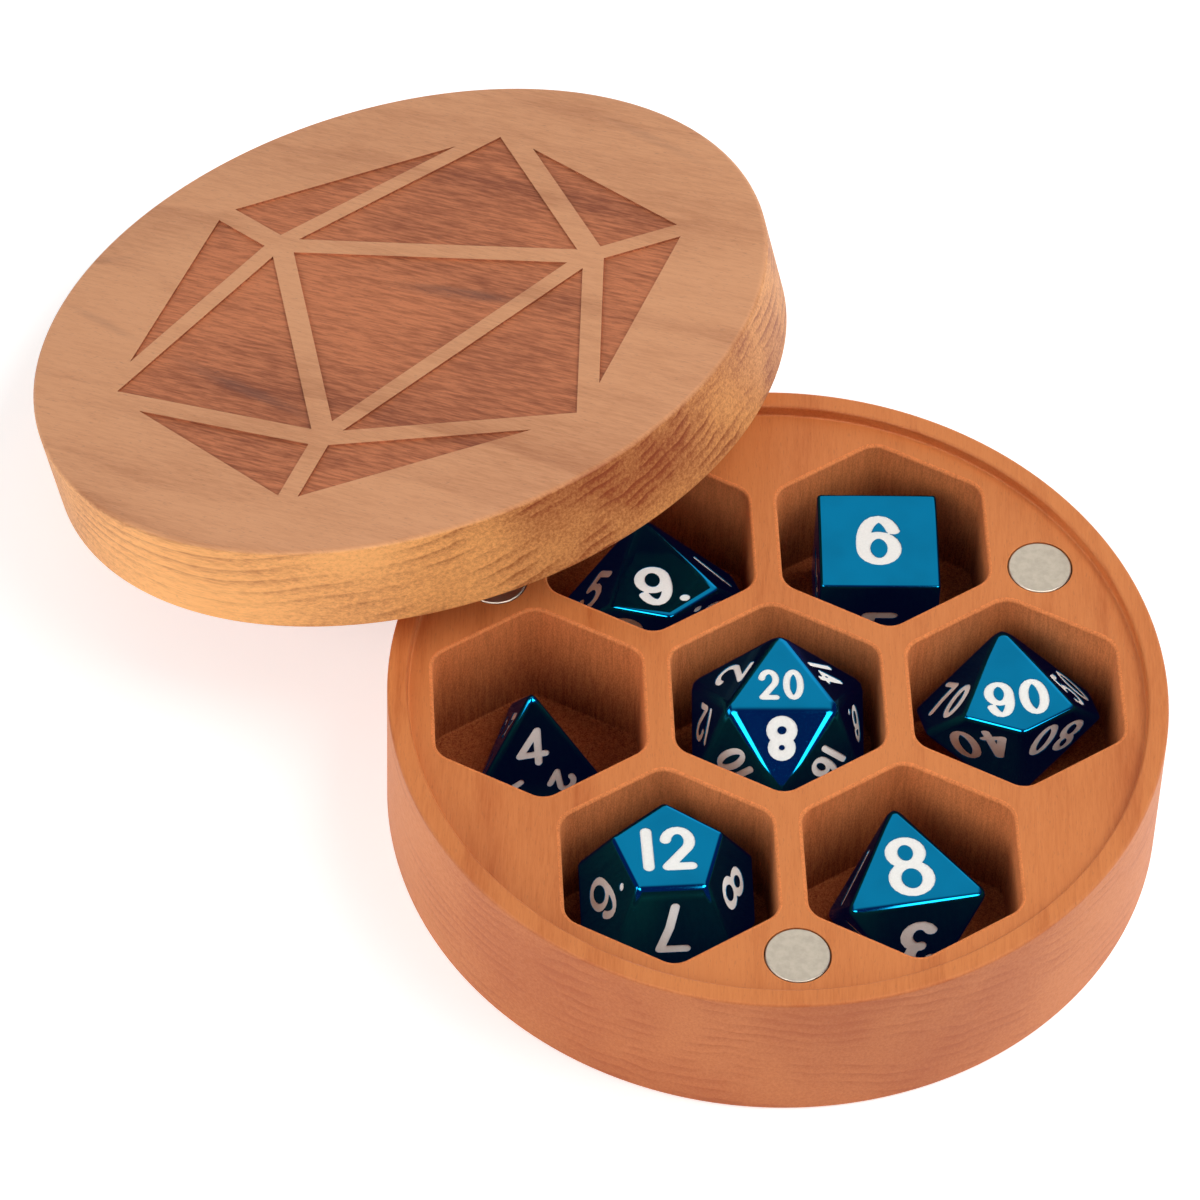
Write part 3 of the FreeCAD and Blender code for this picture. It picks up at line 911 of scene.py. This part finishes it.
def rounded_solid(edge, corners, loops):
    """The polyhedron with its edges rounded; the strips along them have material 1."""
    solid = bmesh.new()
    spots = [solid.verts.new(c) for c in corners]
    for loop in loops:
        solid.faces.new([spots[i] for i in loop])
    bmesh.ops.bevel(solid, geom=solid.edges[:], offset=edge, segments=DIE_EDGE_STEPS,
                    profile=DIE_EDGE_FULLNESS, affect="EDGES", clamp_overlap=True, material=1)
    solid.normal_update()
    solid.verts.index_update()
    return solid


def sketch_die(kind, sizes):
    """Polyhedron with rounded edges, and numerals sunk in each face."""
    directions, inradius = kind["faces"], kind["inradius"]
    corners, loops = polyhedron(directions, inradius)
    solid = rounded_solid(kind["edge"] * MM, corners, loops)
    leans = [v.normal.copy() for v in solid.verts]
    flats = [f for f in solid.faces if f.material_index == 0]
    for flat in flats:
        for v in flat.verts:
            leans[v.index] = flat.normal.copy()
    sketch = Sketch()
    rings = sketch.add(v.co for v in solid.verts)
    for strip in solid.faces:
        if strip.material_index:
            ends = [v.index for v in strip.verts]
            sketch.face([rings[i] for i in ends], [leans[i] for i in ends])
    for direction, loop, face_marks in zip(directions, loops, kind["marks"]):
        flat = max(flats, key=lambda f: f.normal.dot(direction))
        middle = direction * inradius
        face_corners = sorted((corners[i] for i in loop),
                              key=lambda c: corner_rank(c, middle, kind.get("nearest")))
        face = face_plane(direction, middle, face_corners[0])
        cuts = []
        for mark in face_marks:
            style = {**kind["style"], **mark.get("style", {})}
            nib = style.pop("nib")
            outlines = numeral(mark["text"], **{k: v * MM for k, v in style.items()}, nib=nib)
            plane = face_plane(direction, middle, face_corners[mark.get("corner", 0)],
                               kind.get("spin", 0))
            aside, along = mark.get("shift", kind.get("shift", (0, 0)))
            onto_face = face.inverted() @ plane @ Matrix.Translation((aside * MM, along * MM, 0))
            cuts += [[(onto_face @ p.to_3d()).to_2d() for p in line] for line in outlines]
        sketch.plate(face, [rings[v.index] for v in flat.verts], cuts=cuts,
                     depth=sizes.numeral_depth, finishes=(0, 1, 0))
    solid.free()
    return sketch


def marks(texts, **placed):
    """One numeral per face; placed gives those set one by one, such as f2=dict(corner=2)."""
    made = [[{"text": text}] for text in texts]
    for face, change in placed.items():
        made[int(face[1:])][0].update(change)
    return made


def corner_marks(faces, small, shifts):
    """Three numerals per face, each near a corner and reading towards it; the last two small."""
    return [[dict(text=text, corner=k, shift=shifts[k], style=small if k else {})
             for k, text in enumerate(face)] for face in faces]


D20_SINGLE = dict(height=5.9, width=4.1, stroke=1.45)
# turn is that of the die and spin that of its numerals, in degrees; the edge's rounding, shifts
# and styles are in millimetres, but nib is a share; the inradius runs from the middle to a face;
# numerals read towards their face's highest or nearest corner, or the one numbered here
KINDS = {
    "twenty_sided_die": dict(
        faces=ICOSA, inradius=14.1 * MM * GOLD ** 2 / (2 * math.sqrt(3)), turn=88.2,
        edge=0.8, style=dict(height=5.1, width=2.75, stroke=0.92, gap=0.45, nib=0.95),
        marks=marks(["20", "2", "8", "14", "13", "5", "10", "12", "6.", "16",
                     "1", "19", "18", "7", "9.", "11", "4", "15", "3", "17"],
                    f0=dict(shift=(0, -0.3)), f1=dict(corner=2, style=D20_SINGLE | {"stroke": 1}),
                    f2=dict(corner=2, style=D20_SINGLE), f3=dict(corner=2), f6=dict(corner=2),
                    f7=dict(corner=2), f8=dict(corner=2), f9=dict(corner=2))),
    "percentile_ten_sided_die": dict(
        faces=kite_faces(), inradius=8.184 * MM, turn=95.1, edge=1.0, nearest=True,
        shift=(0, -3.8), style=dict(height=5.95, width=3.95, stroke=1.3, gap=0.6, nib=0.68),
        marks=marks(["90", "50", "30", "00", "70", "10", "60", "40", "80", "20"],
                    f4=dict(shift=(0.2, -3.95), style=dict(width=3.65, height=5.6)))),
    "six_sided_die": dict(
        faces=CUBE, inradius=8.0 * MM, turn=-2.0, edge=0.55, spin=45,
        style=dict(height=8.6, width=6.1, stroke=1.9, gap=0.6, nib=0.68),
        marks=marks(["6", "1", "3", "2", "4", "5"], f5=dict(shift=(0, -1.8)))),
    "ten_sided_die": dict(
        faces=kite_faces(), inradius=8.184 * MM, turn=100.5, edge=1.0, nearest=True,
        shift=(-0.1, -3.85), style=dict(height=6.7, width=4.9, stroke=1.45, gap=0.35, nib=0.78),
        marks=marks(["9.", "1", "3", "0", "5", "7", "4", "8", "6.", "2"])),
    "four_sided_die": dict(
        faces=TETRA, inradius=20.5 * MM / math.sqrt(24), turn=99.5, edge=1.1,
        style=dict(height=6.0, width=4.5, stroke=1.05, gap=0.4, nib=0.95),
        marks=corner_marks(["312", "431", "412", "432"], dict(height=3.7, width=3.0, stroke=0.9),
                           [(-0.45, 3.0), (-0.8, 4.45), (0.85, 4.4)])),
    "twelve_sided_die": dict(
        faces=DODECA, inradius=8.75 * MM * 0.5 * math.sqrt(2.5 + 1.1 * math.sqrt(5)),
        turn=91.6, edge=0.75, style=dict(height=7.0, width=4.6, stroke=1.5, gap=0.9, nib=0.84),
        marks=marks(["12", "6", "9.", "7", "8", "10", "1", "5", "4", "11", "3", "2"],
                    f2=dict(corner=2, style=dict(stroke=1.1, height=6.4, gap=0.5)),
                    f3=dict(corner=4, style=dict(stroke=1.2)),
                    f4=dict(corner=2, style=dict(stroke=1.2, height=6.4)))),
    "eight_sided_die": dict(
        faces=OCTA, inradius=18.5 * MM / math.sqrt(6), turn=98.0, edge=0.9,
        style=dict(height=8.4, width=5.6, stroke=1.7, gap=0.6, nib=0.78),
        marks=marks(["8", "1", "3", "2", "5", "6", "4", "7"],
                    f0=dict(shift=(0, 0.5), style=dict(height=9.6, width=6.1)),
                    f2=dict(corner=2, shift=(0, 1.4), style=dict(height=7.4, width=5.0)))),
}


def coloured_metal(colours):
    """Smooth coloured metal under a clear coat, with the faint drift of a plated part, and a faint
    navy glow that is painted light.
    """
    shader = Shader("dice_metal")
    here = shader.place()
    drift = shader.noise(here, 0.14).between(0.3, 0.7)
    specks = shader.noise(here, 3.6, detail=1.0).between(0.74, 0.8)
    tone = shader.mix(drift, colours.dice, darker(colours.dice, 0.88))
    return shader.surface(tone, 0.1 + specks * 0.15, shader.noise(here, 0.7, detail=1.0),
                          {"Metallic": 1.0, "Coat Weight": 0.05, "Coat Roughness": 0.06,
                           # painted light: a faint navy emission lifts the darkest faces
                           "Specular Tint": (0.02, 0.12, 0.3), "Emission Strength": 1.0,
                           "Emission Color": (0.0005, 0.001, 0.009)},
                          strength=0.05, depth=0.02)


def numeral_paint(colours):
    shader = Shader("numeral_paint")
    pits = shader.noise(shader.place(), 4.0).between(0.3, 0.7)
    tone = shader.mix(pits * 0.35, colours.numeral, darker(colours.numeral, 0.86))
    return shader.surface(tone, 0.5 + pits * 0.1, pits, {"Specular IOR Level": 0.4},
                          strength=0.2, depth=0.02)


def die_place(sketch, node, turn):
    """Turns a die and sets the middle of its box on that of its solid."""
    turned = Matrix.Rotation(math.radians(turn), 4, "Z")
    spots = [turned @ p for p in sketch.points]
    middle = Vector((max(p[i] for p in spots) + min(p[i] for p in spots)) / 2 for i in range(3))
    low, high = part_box(node)
    return Matrix.Translation((low + high) / 2 - middle) @ turned


# --- stage ---

def camera_place(studio):
    """The camera's axes: it looks at the aim point and is rolled about its own axis."""
    aim = Vector((studio.aim_x, studio.aim_y, 0))
    back = polar(math.cos(studio.elevation), studio.azimuth, math.sin(studio.elevation))
    right = Vector((0, 0, 1)).cross(back).normalized()
    turned = Matrix((right, back.cross(right), back)).transposed().to_4x4()
    roll = Matrix.Rotation(studio.roll, 4, "Z")
    return Matrix.Translation(aim + back * studio.distance) @ turned @ roll


def add_camera(studio):
    camera = bpy.data.cameras.new("camera")
    camera.lens = studio.lens
    camera.sensor_width = SENSOR
    camera.clip_start = NEAREST_SEEN
    bpy.context.scene.camera = put("camera", camera, camera_place(studio))


# setting, place, aim, size and whether reflections show it
SOFT_BOXES = (("overhead", (0.31, -0.05, 0.56), (0, 0, 0), 0.4, False),
              ("front", (-0.60, -0.75, 0.60), (0, 0, 0), 0.8, False),
              ("left", (-1.10, -0.20, 0.36), (-0.05, 0.05, 0), 0.5, True),
              ("right", (1.08, 0.32, 0.36), (0, 0, 0), 0.5, False))


def add_soft_box(name, place, aim, size, mirrored, radiance):
    """Square lamp of an even radiance, unseen by the camera."""
    light = bpy.data.lights.new(name, "AREA")
    light.shape = "SQUARE"
    light.size = size
    light.energy = radiance * math.pi * size * size
    turn = (Vector(place) - Vector(aim)).to_track_quat("Z", "Y")
    lamp = put(name, light, Matrix.LocRotScale(place, turn, None))
    lamp.visible_camera = False
    lamp.visible_glossy = mirrored


LOOKS = ("Is Camera Ray", "Is Glossy Ray", "Is Transmission Ray")
NAVY = (0.03, 0.07, 0.23)       # the studio in front, in reflections
LOW_BACKDROP = 1.7              # how much brighter the backdrop is low down at the right


def add_world(studio):
    """White to the camera and even for light; reflections see a studio.

    Its backdrop is bright behind and overhead, and brighter low down at the right.  In front it
    is navy, with a bright panel on either side.
    """
    shader = Shader("studio", "worlds")
    way = shader.node("ShaderNodeTexCoord", out="Generated")
    aside, depth, rise = shader.outputs("ShaderNodeSeparateXYZ", "XYZ", {0: way})
    behind = depth.between(-0.5, 0.15) * (1 - abs(aside).between(0.45, 0.75))
    low = (1 - rise.between(0.3, 0.65)) * aside.between(0.0, 0.25)
    back = shader.mix(low, studio.backdrop, studio.backdrop * LOW_BACKDROP)
    panel = (1 - depth.between(-0.55, -0.4)) * abs(aside).between(0.16, 0.24)
    panel = panel * rise.between(0.33, 0.42) * (1 - rise.between(0.72, 0.82))
    studio_light = shader.mix(behind, NAVY, back)
    studio_light = shader.mix(panel, studio_light, studio.panels)
    seen, mirrored, through = shader.outputs("ShaderNodeLightPath", LOOKS)
    light = shader.mix(mirrored, studio.ambient, studio_light)
    light = shader.mix(seen + through, light, 1)
    even = shader.node("ShaderNodeBackground", {}, {"Color": light})
    bpy.context.scene.world = shader.finish(even, "ShaderNodeOutputWorld")


def add_floor(studio):
    """Pale table; it keeps a soft shadow, and is white to the camera elsewhere."""
    shader = Shader("pale_table")
    seen, mirrored, through = shader.outputs("ShaderNodeLightPath", LOOKS)
    seen = seen + mirrored + through
    shade = shader.mix(seen, 0.9, 0.84)
    matt = shader.node("ShaderNodeBsdfDiffuse", {}, {"Color": shade})
    far = shader.distance(shader.place()).between(*TABLE_FADE)
    lift = shader.mix(seen, 0.22, shader.mix(far, 0.50, 1))
    glow = shader.node("ShaderNodeEmission", {}, {"Color": lift, "Strength": studio.table_glow})
    material = shader.finish(shader.node("ShaderNodeAddShader", {}, {0: matt, 1: glow}))
    sketch = Sketch()
    signs = ((-1, -1), (1, -1), (1, 1), (-1, 1))
    sketch.cap(sketch.add([(x * TABLE_REACH, y * TABLE_REACH, 0) for x, y in signs]), TOP)
    floor = sketch.make("table", [material])


# --- operators ---

def seat_piece(piece, body, node):
    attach(piece, body)
    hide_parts(node)


class CHEST_OT_tray(bpy.types.Operator):
    """Builds the tray with its seven pockets"""
    bl_idname = "chest.tray"
    bl_label = "Tray"

    def execute(self, context):
        chest = context.scene.dice_chest
        tray, wood = chest.tray, chest.wood
        finishes = [tray_wood(wood),
                    shaded_pocket_wood("tray_pocket", TRAY_BOARD, wood, tray.face_height, -1)]
        piece = sketch_tray(tray, chest.magnet).make("chest_tray", finishes)
        seat_piece(piece, "tray_body", "tray")
        return {"FINISHED"}


class CHEST_OT_lid(bpy.types.Operator):
    """Builds the leaning lid with its engraved figure"""
    bl_idname = "chest.lid"
    bl_label = "Lid"

    def execute(self, context):
        chest = context.scene.dice_chest
        wood, lid = chest.wood, chest.lid
        lean = lid_place(lid)
        sketch = sketch_lid(chest.tray, lid, chest.magnet).carry(lean)
        finishes = [lid_wood(lid, wood, lean), engraved_wood(wood, lean),
                    shaded_pocket_wood("lid_pocket", LID_BOARD, wood, -lid.boss_height, 1, lean)]
        piece = sketch.make("chest_lid", finishes)
        seat_piece(piece, "lid_body", "lid")
        return {"FINISHED"}


class CHEST_OT_magnets(bpy.types.Operator):
    """Builds the three magnets in the tray and the three in the lid"""
    bl_idname = "chest.magnets"
    bl_label = "Magnets"

    def execute(self, context):
        chest = context.scene.dice_chest
        nickel = nickel_plate(chest.metal)
        sketch = sketch_magnet(chest.magnet)
        seat = Vector((0, 0, chest.tray.face_height - chest.magnet.thickness))
        spots = [("tray", name, Matrix.Translation(centre + seat))
                 for name, centre in zip(("right", "left", "front"), magnet_centres(chest.magnet))]
        lean = lid_place(chest.lid)
        low = Vector((0, 0, -chest.lid.boss_height))
        holes = magnet_centres(chest.magnet, pocket_turn(chest.lid))
        spots += [("lid", number, lean @ Matrix.Translation(centre + low))
                  for number, centre in enumerate(holes, 1)]
        for half, name, place in spots:
            piece = sketch.make(f"magnet_{half}_{name}", [nickel], place)
            seat_piece(piece, f"{half}_body", f"{half}_magnet_{name}")
        return {"FINISHED"}


class CHEST_OT_dice(bpy.types.Operator):
    """Builds the seven dice with their sunk numerals"""
    bl_idname = "chest.dice"
    bl_label = "Dice"

    def execute(self, context):
        chest = context.scene.dice_chest
        finishes = [coloured_metal(chest.metal), numeral_paint(chest.metal)]
        for node, kind in KINDS.items():
            sketch = sketch_die(kind, chest.dice)
            piece = sketch.make("metal_" + node, finishes, die_place(sketch, node, kind["turn"]))
            seat_piece(piece, node + "_body", node)
        return {"FINISHED"}


class CHEST_OT_stage(bpy.types.Operator):
    """Sets up the table, the light and the camera"""
    bl_idname = "chest.stage"
    bl_label = "Stage"

    def execute(self, context):
        studio = context.scene.dice_chest.studio
        context.scene.view_settings.view_transform = "Standard"
        add_floor(studio)
        add_world(studio)
        for box in SOFT_BOXES:
            add_soft_box(*box, getattr(studio, box[0]))
        add_camera(studio)
        return {"FINISHED"}


class CHEST_PT_build(bpy.types.Panel):
    """Lists the chest's pieces and settings"""
    bl_label = "Dice Chest"
    bl_idname = "CHEST_PT_build"
    bl_space_type = "VIEW_3D"
    bl_region_type = "UI"
    bl_category = "Dice Chest"

    def draw(self, context):
        for step in STEPS:
            self.layout.operator(step.bl_idname)
        chest = context.scene.dice_chest
        for part in chest.bl_rna.properties:
            if part.type == "POINTER" and part.identifier != "rna_type":
                self.layout.label(text=part.name)
                values = getattr(chest, part.identifier)
                for value in values.bl_rna.properties:
                    if value.identifier not in ("rna_type", "name"):
                        self.layout.prop(values, value.identifier)


GROUPS = (TraySizes, LidSizes, MagnetSizes, DiceSizes, WoodColours, MetalColours, StudioSettings,
          ChestSettings)
STEPS = (CHEST_OT_tray, CHEST_OT_lid, CHEST_OT_magnets, CHEST_OT_dice, CHEST_OT_stage)
CLASSES = (*GROUPS, *STEPS, CHEST_PT_build)


def register():
    for kind in CLASSES:
        bpy.utils.register_class(kind)
    bpy.types.Scene.dice_chest = group("Dice Chest", "Settings of the dice chest", ChestSettings)


def unregister():
    del bpy.types.Scene.dice_chest
    for kind in reversed(CLASSES):
        bpy.utils.unregister_class(kind)


def main():
    register()
    for step in STEPS:
        family, name = step.bl_idname.split(".")
        getattr(getattr(bpy.ops, family), name)()


if __name__ == "__main__":
    main()
